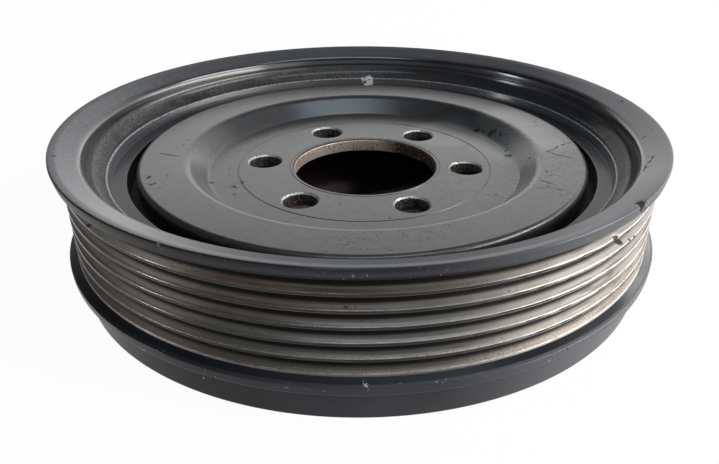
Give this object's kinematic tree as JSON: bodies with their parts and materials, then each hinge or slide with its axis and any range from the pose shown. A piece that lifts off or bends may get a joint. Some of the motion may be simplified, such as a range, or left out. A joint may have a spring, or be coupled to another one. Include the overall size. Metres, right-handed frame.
{
  "type": "harmonic balancer",
  "caption": "Crankshaft torsional damper: a ribbed belt ring bonded by rubber to a pressed dished hub with a bolt circle round a centre bore.",
  "frame": {"origin": "centre of the hub's back face, on the crankshaft's axis, where the hub seats on the crank end", "axes": "+Z along the crankshaft's axis, away from the engine; +X through the middle of one bolt hole"},
  "size_m": [0.1524, 0.1524, 0.0356],
  "materials": {
    "hub": "dark grey paint on pressed steel, rubbed to a dull sheen, turned bright at the bore",
    "rubber_ring": "matt black bonded rubber, dusty",
    "pulley_ring": "dark grey paint on a turned iron ring, worn to bare brownish metal on the belt ribs"
  },
  "bodies": {
    "root": {"hub": "hub", "rubber_ring": "rubber_ring", "pulley_ring": "pulley_ring"}
  },
  "joints": []
}
